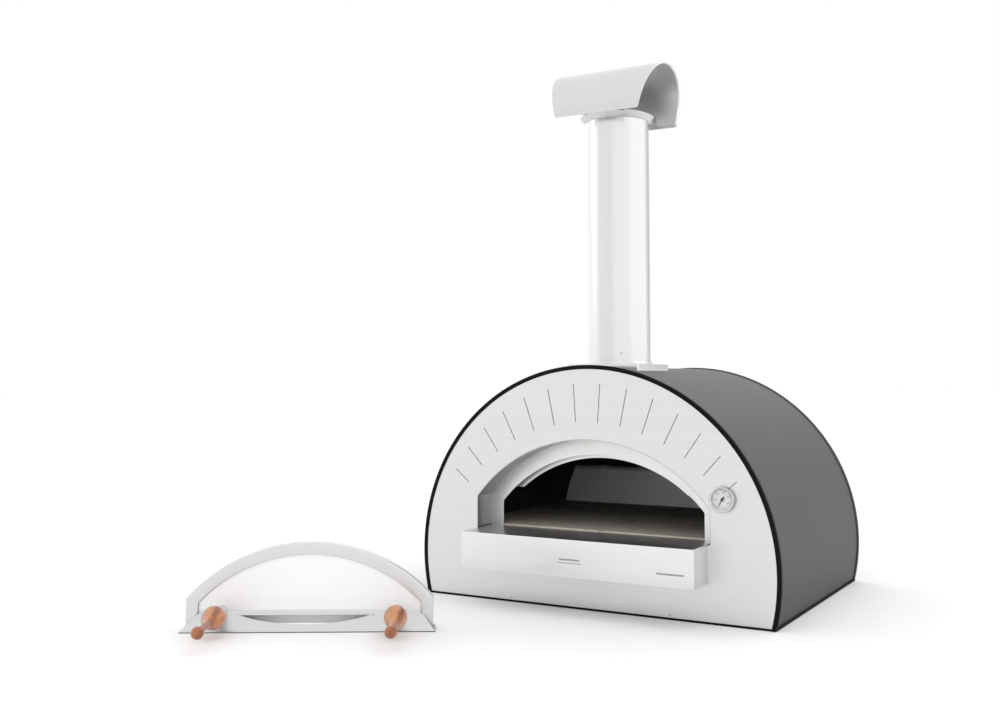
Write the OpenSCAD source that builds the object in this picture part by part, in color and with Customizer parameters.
// Wood fired pizza oven with a vaulted steel body, a landing shelf, a flue with
// a turning cowl, a dial thermometer and a lift-off door standing beside it.
// +Z is up, the front faces -Y, and the origin is the middle of the base.

/* [Body] */
// Depth of the body from face to back
body_d = 796; // [640:1:940]
// Outside radius of the vaulted shell
shell_r = 510; // [480:1:612]
// Height of the vault's centre above the floor
vault_z = 125; // [110:1:160]
// Thickness of the insulation between shell and chamber
wall_t = 73; // [60:1:85]
// Thickness of the formed steel sheet
sheet = 2; // [1.5:0.1:2.5]
// Thickness of the base plate
base_t = 5; // [4:0.5:8]
// Width of the black edging seen from the front
trim_w = 11; // [8:1:14]
// Spacing of the trolley holes across the base
stand_x = 760; // [600:1:800]
// Spacing of the trolley holes along the base
stand_y = 560; // [400:1:600]
// Diameter of a trolley hole
stand_hole = 9; // [7:0.5:12]
// Half distance between the two screws low on the face
screw_x = 229; // [150:1:300]

/* [Mouth] */
// Radius of the mouth's arch in the face
mouth_r = 429; // [350:1:435]
// Half width of the mouth between its jambs
mouth_hw = 336; // [300:1:345]
// Height of the arch centre above the floor
mouth_z = 12; // [0:1:24]
// Height of the sill and of the shelf's top
sill_z = 193; // [180:1:200]
// Depth of the reveal behind the face
reveal_d = 74; // [60:1:90]
// Width of the throat plate seen inside the reveal
throat_w = 41; // [30:1:50]
// Depth of the smoke lip behind the throat plate
lip_d = 24; // [18:1:40]
// Number of slots in the fan over the mouth
fan_n = 14; // [8:1:16]
// Angle between two slots
fan_step = 7.73; // [5:0.01:8]
// Width of a slot
fan_w = 2.6; // [2:0.1:4]
// Radius at which the slots begin
fan_start = 476; // [460:1:490]
// Distance the slots stop short of the face's edge
fan_stop = 43; // [30:1:60]

/* [Hearth] */
// Thickness of a hearth tile
tile_t = 40; // [30:1:50]
// Height of the tiles above the sill
tile_rise = 4; // [2:0.5:8]
// Joint between two tiles
tile_gap = 1.5; // [1:0.5:3]
// Thickness of the board under the hearth
board_t = 50; // [30:1:60]
// Distance from the chamber's back to the rear plate
rear_gap = 79; // [60:1:100]

/* [Shelf] */
// Gap between the shelf and each side of the mouth
shelf_gap = 6; // [3:0.5:30]
// Distance the shelf stands out from the face
shelf_out = 98; // [70:1:140]
// Height of the shelf's front
shelf_h = 95; // [70:1:110]

/* [Flue] */
// Outside radius of the flue pipe
flue_r = 90; // [75:1:100]
// Distance of the flue's axis behind the face
flue_back = 204; // [180:1:260]
// Height of the pipe's top edge
flue_top = 1342; // [1100:1:1500]
// Side of the square saddle on the roof
saddle_w = 214; // [200:1:240]
// Height of the saddle's top above the shell
saddle_rise = 8; // [6:1:20]
// Wall of the flue pipe
pipe_t = 1.2; // [1:0.1:2]

/* [Cowl] */
// Outside radius of the cowl's hood
hood_r = 140; // [130:1:168]
// Half length of the hood along its lower edge
hood_low = 124; // [110:1:150]
// Half length of the hood along its crown
hood_high = 160; // [150:1:190]
// Radius of the flared rim under the hood
flare_r = 104; // [98:1:112]
// Height of the flared rim
flare_h = 15; // [12:1:30]
// Running clearance between sleeve and pipe
cowl_fit = 0.06; // [0.03:0.01:0.1]

/* [Thermometer] */
// Radius of the bezel
dial_r = 31.5; // [28:0.5:36]
// Place of the dial across the face
dial_x = 371; // [350:1:385]
// Height of the dial
dial_z = 306; // [290:1:320]
// Depth of the case
dial_d = 14; // [12:1:20]
// Length of the probe behind the face
probe_l = 130; // [100:1:180]
// Running clearance around the spindle
spindle_fit = 0.05; // [0.03:0.01:0.1]

/* [Door] */
// Width of the door
door_w = 595; // [560:1:640]
// Height of the door
door_h = 207; // [200:1:215]
// Radius of the door's arch
door_r = 400; // [380:1:430]
// Thickness of the door
door_t = 28; // [24:1:36]
// Width of the door's raised rim
rim_w = 30; // [24:1:36]
// Distance the foot stands out in front
foot_d = 44; // [32:1:50]
// Distance the foot runs past the rim at each end
foot_over = 6.5; // [2:0.5:10]
// Height of the foot's crease
foot_h = 42; // [36:1:50]
// Place of the door across the floor
door_x = -459; // [-600:1:-400]
// Place of the door in front of the oven's middle
door_y = -970; // [-1100:1:-950]
// Turn of the door away from the oven's face
door_turn = 32; // [0:1:45]
// Half distance between the handles
handle_x = 212; // [180:1:230]
// Length of a wooden handle
handle_l = 205; // [150:1:220]

/* [Hidden] */
$fn = 96;
face_y = -body_d / 2;
rear_y = body_d / 2;
shell_t = 1.5;
thin = 1.5;
air = 0.3;
far = 3000;
chamber_r = shell_r - shell_t - wall_t - 0.5;
vault_r = chamber_r + sheet;
throat_y = face_y + reveal_d;
chamber_back_y = rear_y - rear_gap;
hearth_z = sill_z + tile_rise;
pan_t = 3;
pan_z = hearth_z - tile_t;
board_top = pan_z - pan_t;
board_z = board_top - board_t;
board_hw = sqrt(pow(vault_r, 2) - pow(board_top - vault_z, 2)) + 2;
iron_hw = 400;
iron_leg = 30;
iron_t = 3;
face_r = shell_r - shell_t - 0.5;
trim_out = 4;
trim_d = 12;
screw_z = base_t + 8;
mouth_edge = min(mouth_hw, sqrt(pow(mouth_r, 2) - pow(sill_z - mouth_z, 2)));
shelf_hw = mouth_edge - shelf_gap;
bracket_x = 210;
bracket_t = 4;
throat_r = mouth_r - throat_w - 1;
throat_hw = mouth_hw - throat_w + 1;
flue_y = face_y + flue_back;
roof_z = vault_z + shell_r;
saddle_top = roof_z + saddle_rise;
spigot_r = flue_r - pipe_t - 0.4;
spigot_top = saddle_top + 80;
pipe_screw_z = saddle_top + 30;
pipe_screws = [30, 150, 270];
sleeve_t = 2;
flare_z = flue_top - 18;
hood_z = flue_top - 6;
hood_skirt = 8;
strap_x = 55;
strap_w = 20;
rivet_z = hood_z + 9;
stem_r = 4;
spindle_r = 1.4;
case_y = face_y - dial_d;
needle_turn = 210;
door_zc = door_h - door_r;
door_hw = door_w / 2;
foot_hw = door_hw + foot_over;
panel_y = foot_d;
rim_y = foot_d - 6;
door_back_y = rim_y + door_t;
crease_hw = door_hw - rim_w;
vent_x = -10;
vent_hw = 152;
vent_top = 34;
vent_low = 16;
outlet_low = 3;
outlet_high = 9;
handle_z = 44;
handle_y = -8;
ferrule_r = 13;
bulb_r = 27.5;
neck_r = 8;
ball_r = 14.5;
rod_r = 4;

// Outline drawn in X and Z, made solid from y0 to y1
module along_y(y0, y1) {
    translate([0, y1, 0]) rotate([90, 0, 0]) linear_extrude(y1 - y0) children();
}

// Outline drawn in Y and Z, made solid from x0 to x1
module along_x(x0, x1) {
    translate([x0, 0, 0]) rotate([90, 0, 90]) linear_extrude(x1 - x0) children();
}

// Round rod along Y
module rod_y(r, y0, y1) {
    translate([0, y1, 0]) rotate([90, 0, 0]) cylinder(r = r, h = y1 - y0);
}

// Vault outline: a disc about the vault's centre, cut off below z0
module vault_2d(r, z0) {
    intersection() {
        translate([0, vault_z]) circle(r);
        translate([-far, z0]) square([2 * far, far]);
    }
}

// Mouth outline: an arch of radius r between jambs, above z0
module mouth_2d(r, hw, z0) {
    intersection() {
        translate([0, mouth_z]) circle(r);
        translate([-hw, z0]) square([2 * hw, far]);
    }
}

// Door outline, set in from its edge
module door_2d(inset, z0) {
    intersection() {
        translate([0, door_zc]) circle(door_r - inset);
        translate([-door_hw + inset, z0]) square([door_w - 2 * inset, far]);
    }
}

// Puts a piece of the door where the door stands
module door_place() {
    translate([door_x, door_y, 0]) rotate([0, 0, door_turn]) children();
}

// Two mirrored copies, left and right
module both_sides() {
    children();
    mirror([1, 0, 0]) children();
}

// Flue axis
module at_flue() {
    translate([0, flue_y, 0]) children();
}

// Dial axis
module at_dial() {
    translate([dial_x, 0, dial_z]) children();
}

module base_plate() {
    edge = sqrt(pow(shell_r + trim_out, 2) - pow(vault_z - base_t, 2));
    color("#1b1c1e")
    difference() {
        translate([-edge, face_y - 2, 0]) cube([2 * edge, body_d + 4, base_t]);
        for (sx = [-1, 1], sy = [-1, 1])
            translate([sx * stand_x / 2, sy * stand_y / 2, -1])
                cylinder(d = stand_hole, h = base_t + 2);
    }
}

// Angle iron across the oven under the board: an upright leg and a flat top
module cross_iron(y, side) {
    translate([-iron_hw, side > 0 ? y : y - iron_t, board_z - iron_leg])
        cube([2 * iron_hw, iron_t, iron_leg]);
    translate([-iron_hw, side > 0 ? y : y - iron_leg, board_z - iron_t])
        cube([2 * iron_hw, iron_leg, iron_t]);
}

// Carries the hearth board over the base plate
module hearth_frame() {
    front = throat_y + 20;
    back = chamber_back_y - 20;
    color("#6d7073")
    union() {
        for (sx = [-1, 1], y = [front, back - iron_leg])
            translate([sx > 0 ? iron_hw - iron_leg : -iron_hw, y, base_t])
                cube([iron_leg, iron_leg, board_z - base_t]);
        cross_iron(front, 1);
        cross_iron(back, -1);
        cross_iron(0, 1);
        for (sx = [-1, 1])
            translate([sx > 0 ? iron_hw - iron_t : -iron_hw, front, board_z - iron_leg])
                cube([iron_t, back - front, iron_leg]);
    }
}

module hearth_board() {
    color("#d8d2c2")
    translate([-board_hw, throat_y + sheet, board_z])
        cube([2 * board_hw, chamber_back_y - throat_y - sheet, board_t]);
}

module hearth_pan() {
    hw = sqrt(pow(chamber_r, 2) - pow(board_top - vault_z, 2)) - 2;
    color("#8d9093")
    translate([-hw, throat_y + sheet, board_top])
        cube([2 * hw, chamber_back_y - throat_y - sheet, pan_t]);
}

// One of the four hearth tiles; sx and row pick its place
module hearth_tile(sx, row) {
    hw = sqrt(pow(chamber_r, 2) - pow(hearth_z - vault_z, 2)) - 1.5;
    y0 = throat_y + sheet + 0.5;
    depth = (chamber_back_y - 1 - y0 - tile_gap) / 2;
    width = hw - tile_gap / 2;
    color("#b79f83")
    translate([sx > 0 ? tile_gap / 2 : -hw, y0 + row * (depth + tile_gap), pan_z])
        cube([width, depth, tile_t]);
}

module hearth_tile_front_left() { hearth_tile(-1, 0); }
module hearth_tile_front_right() { hearth_tile(1, 0); }
module hearth_tile_rear_left() { hearth_tile(-1, 1); }
module hearth_tile_rear_right() { hearth_tile(1, 1); }

module chamber_vault() {
    color("#9a9c9e")
    difference() {
        along_y(throat_y + sheet, chamber_back_y) difference() {
            vault_2d(vault_r, board_top);
            vault_2d(chamber_r, 0);
        }
        at_flue() translate([0, 0, vault_z]) cylinder(r = spigot_r + 0.2, h = far);
    }
}

module chamber_back() {
    color("#a3a5a7")
    along_y(chamber_back_y, chamber_back_y + sheet) vault_2d(vault_r, board_z);
}

// Front wall of the chamber; its rim is the ring seen inside the reveal
module throat_plate() {
    color("#d3d5d7")
    difference() {
        along_y(throat_y, throat_y + sheet) difference() {
            vault_2d(vault_r, board_z);
            mouth_2d(throat_r, throat_hw, sill_z);
        }
        at_dial() rod_y(stem_r + 1, face_y, chamber_back_y);
    }
}

// Arched strip behind the throat that keeps smoke off the face
module smoke_lip() {
    lip_r = throat_r - 10;
    band = 22;
    low = sill_z + 107;
    back = throat_y + sheet + lip_d;
    color("#dcdee0")
    difference() {
        union() {
            along_y(back - sheet, back) difference() {
                mouth_2d(lip_r + band, far, low);
                mouth_2d(lip_r, far, 0);
            }
            along_y(throat_y + sheet, back) difference() {
                mouth_2d(lip_r + band, far, low);
                mouth_2d(lip_r + band - sheet, far, 0);
            }
        }
        at_dial() rod_y(stem_r + 1, face_y, chamber_back_y);
    }
}

// Blanket between the chamber's vault and the shell
module side_insulation() {
    color("#ece7da")
    difference() {
        along_y(throat_y, chamber_back_y + sheet) difference() {
            vault_2d(face_r - air, base_t);
            vault_2d(vault_r + air, 0);
            translate([-board_hw - 1, base_t - 1])
                square([2 * board_hw + 2, board_top - base_t + 1.5]);
        }
        at_flue() translate([0, 0, vault_z]) cylinder(r = spigot_r + 1, h = far);
    }
}

// Blanket behind the face, around the reveal
module front_insulation() {
    color("#ece7da")
    difference() {
        along_y(face_y + sheet + 2, throat_y) difference() {
            vault_2d(face_r - air, base_t);
            mouth_2d(mouth_r + 3, mouth_hw + 3, sill_z - 3);
        }
        at_dial() rod_y(stem_r + 1, face_y, chamber_back_y);
        at_dial() rod_y(12, face_y, face_y + 14);
    }
}

module rear_insulation() {
    color("#ece7da")
    along_y(chamber_back_y + sheet, rear_y - sheet) vault_2d(face_r - air, base_t);
}

module outer_shell() {
    color("#5f6265")
    difference() {
        along_y(face_y, rear_y) difference() {
            vault_2d(shell_r, base_t);
            vault_2d(shell_r - shell_t, 0);
        }
        at_flue() translate([0, 0, vault_z]) cylinder(r = spigot_r + 6, h = far);
    }
}

// One slot of the fan, from above the mouth to below the edging
module fan_slot(a) {
    reach = face_r - fan_stop;
    lift = vault_z - mouth_z;
    stop = lift * cos(a) + sqrt(pow(reach, 2) - pow(lift * sin(a), 2));
    translate([0, mouth_z]) rotate(-a) translate([-fan_w / 2, fan_start])
        square([fan_w, stop - fan_start]);
}

module face_plate() {
    color("#d9dbdc")
    difference() {
        along_y(face_y, face_y + sheet) difference() {
            vault_2d(face_r, base_t);
            mouth_2d(mouth_r, mouth_hw, sill_z - sheet);
            for (i = [0 : fan_n - 1])
                fan_slot((i - (fan_n - 1) / 2) * fan_step);
        }
        at_dial() rod_y(stem_r + 0.2, face_y - 1, face_y + sheet + 1);
        both_sides() translate([screw_x, 0, screw_z]) rod_y(1.6, face_y - 1, face_y + sheet + 1);
    }
}

module rear_plate() {
    color("#5f6265")
    along_y(rear_y - sheet, rear_y) vault_2d(face_r, base_t);
}

// Edging at one end of the body: a band round the shell and a lip over the plate
module edge_trim(y0, y1, lip0, lip1) {
    color("#1e1f21")
    union() {
        along_y(y0, y1) difference() {
            vault_2d(shell_r + trim_out, base_t);
            vault_2d(shell_r + 0.05, 0);
        }
        along_y(lip0, lip1) difference() {
            vault_2d(shell_r + 1, base_t);
            vault_2d(shell_r + trim_out - trim_w, 0);
        }
    }
}

module front_trim() { edge_trim(face_y - 2, face_y - 2 + trim_d, face_y - 2, face_y); }
module rear_trim() { edge_trim(rear_y + 2 - trim_d, rear_y + 2, rear_y, rear_y + 2); }

module mouth_reveal() {
    color("#b9bbbd")
    along_y(face_y + sheet, throat_y) difference() {
        mouth_2d(mouth_r + sheet, mouth_hw + sheet, sill_z - sheet);
        mouth_2d(mouth_r, mouth_hw, 0);
    }
}

// Folded shelf: a top that runs in to the throat, a front and two cheeks
module landing_shelf() {
    front = face_y - shelf_out;
    color("#dfe1e2")
    union() {
        translate([-shelf_hw, front, sill_z - sheet])
            cube([2 * shelf_hw, throat_y - front, sheet]);
        translate([-shelf_hw, front, sill_z - shelf_h])
            cube([2 * shelf_hw, sheet, shelf_h]);
        both_sides() translate([shelf_hw - sheet, front, sill_z - shelf_h])
            cube([sheet, shelf_out, shelf_h]);
    }
}

module shelf_underplate() {
    inner = shelf_hw - sheet;
    color("#8d9093")
    translate([-inner, face_y - shelf_out + sheet, sill_z - shelf_h])
        cube([2 * inner, shelf_out - sheet, sheet]);
}

// Two gussets under the shelf's top
module shelf_brackets() {
    low = sill_z - shelf_h + sheet;
    top = sill_z - sheet;
    color("#8d9093")
    both_sides() along_x(bracket_x, bracket_x + bracket_t)
        polygon([[face_y, low], [face_y, top], [face_y - shelf_out + 10, top],
            [face_y - shelf_out + 10, top - 20], [face_y - 25, low]]);
}

// Domed screw head on a shank; the head looks along -Y
module screw(y, shank) {
    difference() {
        union() {
            rod_y(3.4, y - 1.6, y);
            rod_y(1.5, y - 0.5, y + shank);
        }
        rod_y(1.2, y - 2.2, y - 0.9);
    }
}

module face_screws() {
    color("#c9cbcd")
    both_sides() translate([screw_x, 0, screw_z]) screw(face_y, 3.8);
}

module rear_screws() {
    n = 9;
    step = 22;
    color("#c9cbcd")
    for (i = [0 : n - 1])
        translate([0, 0, vault_z]) rotate([0, (i - (n - 1) / 2) * step, 0])
            translate([0, 0, face_r - 20]) mirror([0, 1, 0]) screw(-rear_y, -0.5);
}

// Square saddle that carries the pipe over the curved roof
module saddle() {
    low = vault_z + sqrt(pow(shell_r, 2) - pow(saddle_w / 2, 2)) - 20;
    inner = saddle_w - 2 * sheet;
    color("#d3d5d7")
    at_flue()
    difference() {
        translate([-saddle_w / 2, -saddle_w / 2, low])
            cube([saddle_w, saddle_w, saddle_top - low]);
        translate([-inner / 2, -inner / 2, low - 1])
            cube([inner, inner, saddle_top - sheet - low + 1]);
        translate([0, 0, low]) cylinder(r = spigot_r + 0.2, h = far);
        translate([0, 0, vault_z]) rod_y(shell_r + 0.05, -far, far);
    }
}

// Tube welded to the vault; the pipe slips over it
module flue_spigot() {
    color("#a3a5a7")
    at_flue()
    difference() {
        translate([0, 0, vault_z + 200]) cylinder(r = spigot_r, h = spigot_top - vault_z - 200);
        translate([0, 0, vault_z + 190]) cylinder(r = spigot_r - pipe_t, h = far);
        translate([0, 0, vault_z]) rod_y(chamber_r, -far, far);
    }
}

module flue_collar() {
    color("#b9bbbd")
    at_flue() translate([0, 0, saddle_top])
    rotate_extrude()
        polygon([[flue_r + 0.05, 0], [flue_r + 5, 0], [flue_r + 5, 3],
            [flue_r + 3, 6], [flue_r + 0.05, 6]]);
}

module flue_pipe() {
    color("#e4e6e7")
    at_flue()
    difference() {
        translate([0, 0, saddle_top]) cylinder(r = flue_r, h = flue_top - saddle_top);
        translate([0, 0, saddle_top - 1])
            cylinder(r = flue_r - pipe_t, h = flue_top - saddle_top + 2);
        for (a = pipe_screws)
            translate([0, 0, pipe_screw_z]) rotate([0, 0, a])
                rod_y(1.6, -flue_r - 2, -flue_r + 5);
    }
}

// Three screws that hold the pipe on its spigot
module flue_screws() {
    color("#c9cbcd")
    at_flue() translate([0, 0, pipe_screw_z])
        for (a = pipe_screws)
            rotate([0, 0, a]) screw(-flue_r - 0.1, 0.9);
}

// Sleeve that turns on the pipe, with a flared rim and a stop on the pipe's edge
module cowl_sleeve() {
    bore = flue_r + cowl_fit;
    outer = bore + sleeve_t;
    top = flare_z + flare_h;
    slope = (flare_r - outer) / flare_h;
    root = 5 * sleeve_t;
    color("#c6c8ca")
    at_flue()
    rotate_extrude()
        polygon([[bore, flare_z], [outer, flare_z], [flare_r, top], [flare_r - sleeve_t, top],
            [outer - sleeve_t + slope * root, flare_z + root],
            [outer, flare_z + root], [outer, flue_top + sheet],
            [flue_r - 4, flue_top + sheet], [flue_r - 4, flue_top], [bore, flue_top]]);
}

// Side view of one strap in Y and Z, from the flared rim to the hood's side
module strap_2d() {
    gap_r = hood_r - pipe_t - air;
    foot = flare_z + flare_h;
    inner = flare_r - 20;
    tab = 24;
    intersection() {
        difference() {
            translate([0, hood_z]) circle(gap_r);
            translate([0, hood_z]) circle(gap_r - thin);
        }
        translate([gap_r - 20, foot]) square([30, tab]);
    }
    reach = sqrt(pow(gap_r, 2) - pow(foot - hood_z, 2)) - 0.2;
    translate([inner, foot]) square([reach - inner, thin]);
}

module cowl_straps() {
    color("#a3a5a7")
    at_flue()
    for (sx = [-1, 1], m = [0, 1])
        mirror([0, m, 0]) along_x(sx * strap_x - strap_w / 2, sx * strap_x + strap_w / 2)
            strap_2d();
}

// Half round hood, open at both ends and below, its ends raked outward
module cowl_hood() {
    low = hood_z - hood_skirt;
    high = hood_z + hood_r;
    color("#cfd1d3")
    at_flue()
    difference() {
        intersection() {
            along_x(-hood_high, hood_high) difference() {
                union() {
                    translate([0, hood_z]) circle(hood_r);
                    translate([-hood_r, low]) square([2 * hood_r, hood_skirt]);
                }
                translate([0, hood_z]) circle(hood_r - pipe_t);
                translate([-hood_r + pipe_t, low - far])
                    square([2 * (hood_r - pipe_t), far + hood_skirt]);
                translate([-far, low - far]) square([2 * far, far]);
            }
            along_y(-far, far)
                polygon([[-hood_low, low], [hood_low, low], [hood_high, high], [-hood_high, high]]);
        }
        for (sx = [-1, 1])
            translate([sx * strap_x, 0, rivet_z]) rod_y(1.7, -far, far);
    }
}

// Rivets through the hood and its straps
module cowl_rivets() {
    y = sqrt(pow(hood_r, 2) - pow(rivet_z - hood_z, 2));
    color("#e4e6e7")
    at_flue()
    for (sx = [-1, 1], m = [0, 1])
        mirror([0, m, 0]) translate([sx * strap_x, 0, rivet_z]) union() {
            rod_y(4, -y - 1.4, -y - 0.2);
            rod_y(1.5, -y - 0.4, -y + 1);
        }
}

// Cup of the thermometer, screwed to the face
module gauge_case() {
    color("#c9cbcd")
    at_dial()
    difference() {
        rod_y(dial_r - 2, case_y + 3, face_y);
        rod_y(dial_r - 3.2, case_y, face_y - 1.5);
        rod_y(stem_r + 0.05, face_y - 3, face_y + 1);
    }
}

module gauge_bezel() {
    depth = 6;
    color("#e4e6e7")
    at_dial() translate([0, case_y + depth, 0]) rotate([90, 0, 0])
    rotate_extrude()
        polygon([[dial_r - 1.9, 0], [dial_r, 0], [dial_r, depth - 2],
            [dial_r - 1.2, depth - 0.4], [dial_r - 3, depth], [dial_r - 5, depth - 1],
            [dial_r - 5, depth - 2.2], [dial_r - 1.9, depth - 2.2]]);
}

module gauge_dial() {
    color("#eef0ee")
    at_dial()
    difference() {
        rod_y(dial_r - 3.4, face_y - 4.5, face_y - 3.5);
        rod_y(spindle_r + spindle_fit, face_y - 6, face_y - 2);
    }
}

module gauge_glass() {
    color([0.85, 0.92, 0.95, 0.35])
    at_dial() rod_y(dial_r - 3.4, case_y + 2.3, case_y + 3.8);
}

// Needle, hub and spindle turn as one piece
module gauge_needle() {
    color("#202123")
    at_dial()
    difference() {
        union() {
            rod_y(3.6, face_y - 8.2, face_y - 6);
            rod_y(spindle_r, face_y - 7, face_y + 20);
            rotate([0, needle_turn, 0]) along_y(face_y - 7.4, face_y - 6.6)
                polygon([[-1.6, -7], [1.6, -7], [0.5, 21], [-0.5, 21]]);
        }
        rotate([0, needle_turn, 0]) translate([0, 0, 1.6]) rod_y(0.5, face_y - 9, face_y - 7.8);
    }
}

// Hollow probe that reaches through the face into the chamber
module gauge_stem() {
    color("#c9cbcd")
    at_dial()
    difference() {
        union() {
            rod_y(stem_r, face_y - 1.5, face_y + probe_l);
            rod_y(stem_r + 2, face_y - 3, face_y - 1.5);
        }
        rod_y(spindle_r + spindle_fit, face_y - 4, face_y + probe_l - 20);
    }
}

module gauge_nut() {
    color("#b9bbbd")
    at_dial()
    difference() {
        translate([0, face_y + sheet + 5, 0]) rotate([90, 0, 0]) cylinder(r = 8, h = 5, $fn = 6);
        rod_y(stem_r + 0.05, face_y, face_y + sheet + 6);
    }
}

// Space taken by the door's wedge shaped foot
module foot_wedge() {
    intersection() {
        along_x(-foot_hw, foot_hw)
            polygon([[0, 0], [panel_y, foot_h], [door_back_y, foot_h], [door_back_y, 0]]);
        along_y(-1, door_back_y)
            polygon([[-foot_hw, 0], [foot_hw, 0], [crease_hw, foot_h], [-crease_hw, foot_h]]);
    }
}

// Folded rim of the door: a raised band, an outer wall and an inner return
module door_frame() {
    color("#c9cbcd")
    door_place()
    difference() {
        union() {
            along_y(rim_y, rim_y + thin) difference() {
                door_2d(0, 0);
                door_2d(rim_w, -1);
            }
            along_y(rim_y, door_back_y) difference() {
                door_2d(0, 0);
                door_2d(thin, -1);
            }
            along_y(rim_y, panel_y + thin) difference() {
                door_2d(rim_w - thin, foot_h);
                door_2d(rim_w, -1);
            }
        }
        along_y(-1, door_back_y)
            polygon([[-foot_hw - 1, 0], [foot_hw + 1, 0],
                [crease_hw + air, foot_h], [-crease_hw - air, foot_h]]);
        translate([-far, -far, -far]) cube([2 * far, 2 * far, far + sheet]);
        along_y(door_back_y - thin, door_back_y + 1) door_2d(-1, -1);
    }
}

// Recessed panel and the sloping foot below it, with its smile shaped vent
module door_panel() {
    half = vent_hw;
    drop = vent_top - vent_low;
    vent_r = (half * half + drop * drop) / (2 * drop);
    skin = thin * 1.25;
    color("#e8eaeb")
    door_place()
    difference() {
        union() {
            along_y(panel_y, panel_y + thin) door_2d(rim_w + air, foot_h);
            difference() {
                foot_wedge();
                translate([0, thin * 1.4, -0.01]) intersection() {
                    along_x(-far, far)
                        polygon([[0, 0], [panel_y, foot_h], [far, foot_h], [far, 0]]);
                    along_y(-1, far)
                        polygon([[-foot_hw + skin, -1], [foot_hw - skin, -1],
                            [crease_hw - skin, foot_h + 1], [-crease_hw + skin, foot_h + 1]]);
                }
            }
        }
        along_y(-5, panel_y + thin) intersection() {
            translate([vent_x, vent_low + vent_r]) circle(vent_r);
            translate([-far, -far]) square([2 * far, far + vent_top]);
        }
        along_y(door_back_y - thin, door_back_y + 1) door_2d(-2, -1);
        translate([-far, -far, -far]) cube([2 * far, 2 * far, far + sheet]);
        both_sides() translate([handle_x, 0, handle_z]) rod_y(rod_r + 0.2, 0, door_back_y);
    }
}

// Flat bottom of the foot; the door stands on it
module door_foot_plate() {
    color("#c9cbcd")
    door_place()
    translate([-foot_hw, 0, 0]) cube([2 * foot_hw, door_back_y - thin, sheet]);
}

// Back skin of the door with the vent's outlet
module door_back() {
    color("#b9bbbd")
    door_place()
    along_y(door_back_y - thin, door_back_y) difference() {
        door_2d(0, 0);
        translate([vent_x - vent_hw, outlet_low]) square([2 * vent_hw, outlet_high - outlet_low]);
    }
}

module door_insulation() {
    color("#ece7da")
    door_place()
    along_y(panel_y + thin, door_back_y - thin) difference() {
        door_2d(rim_w, foot_h + 1);
        for (sx = [-1, 1])
            translate([sx * handle_x, handle_z]) circle(12);
    }
}

// Short metal sockets between the door and its handles
module handle_ferrules() {
    color("#b9bbbd")
    door_place()
    difference() {
        both_sides() translate([handle_x, 0, handle_z]) rod_y(ferrule_r, handle_y, panel_y);
        both_sides() translate([handle_x, 0, handle_z]) rod_y(rod_r, handle_y - 1, panel_y + 1);
        foot_wedge();
    }
}

// Rods with heads inside the door; the handles are glued on them
module handle_rods() {
    color("#b9bbbd")
    door_place()
    both_sides() translate([handle_x, 0, handle_z]) union() {
        rod_y(rod_r, handle_y - 60, panel_y + thin + 6);
        rod_y(9, panel_y + thin + 1, panel_y + thin + 6);
    }
}

// Turned handle: a round bulb by the door, a slim neck and a ball at the tip
function handle_radius(t) =
    t < 0.16 ? ferrule_r + (bulb_r - ferrule_r) * pow(sin(t / 0.16 * 90), 0.9)
    : t < 0.52 ? neck_r + (bulb_r - neck_r) * pow(cos((t - 0.16) / 0.36 * 90), 1.5)
    : neck_r;

module turned_handle() {
    n = 28;
    body = handle_l - 26;
    difference() {
        union() {
            rotate([90, 0, 0]) rotate_extrude()
                polygon(concat([[0, 0]],
                    [for (i = [0 : n]) [handle_radius(i / n * 0.86), body * i / n]],
                    [[0, body]]));
            translate([0, -handle_l + ball_r, 0]) sphere(ball_r);
        }
        rod_y(rod_r, -60, 1);
    }
}

module handle_left() {
    color("#a9623a")
    door_place() translate([-handle_x, handle_y, handle_z]) turned_handle();
}

module handle_right() {
    color("#a9623a")
    door_place() translate([handle_x, handle_y, handle_z]) turned_handle();
}

base_plate();
hearth_frame();
hearth_board();
hearth_pan();
hearth_tile_front_left();
hearth_tile_front_right();
hearth_tile_rear_left();
hearth_tile_rear_right();
chamber_vault();
chamber_back();
throat_plate();
smoke_lip();
side_insulation();
front_insulation();
rear_insulation();
outer_shell();
face_plate();
rear_plate();
front_trim();
rear_trim();
mouth_reveal();
landing_shelf();
shelf_underplate();
shelf_brackets();
face_screws();
rear_screws();
saddle();
flue_spigot();
flue_collar();
flue_pipe();
flue_screws();
cowl_sleeve();
cowl_straps();
cowl_hood();
cowl_rivets();
gauge_case();
gauge_bezel();
gauge_dial();
gauge_glass();
gauge_needle();
gauge_stem();
gauge_nut();
door_frame();
door_panel();
door_back();
door_insulation();
door_foot_plate();
handle_ferrules();
handle_rods();
handle_left();
handle_right();
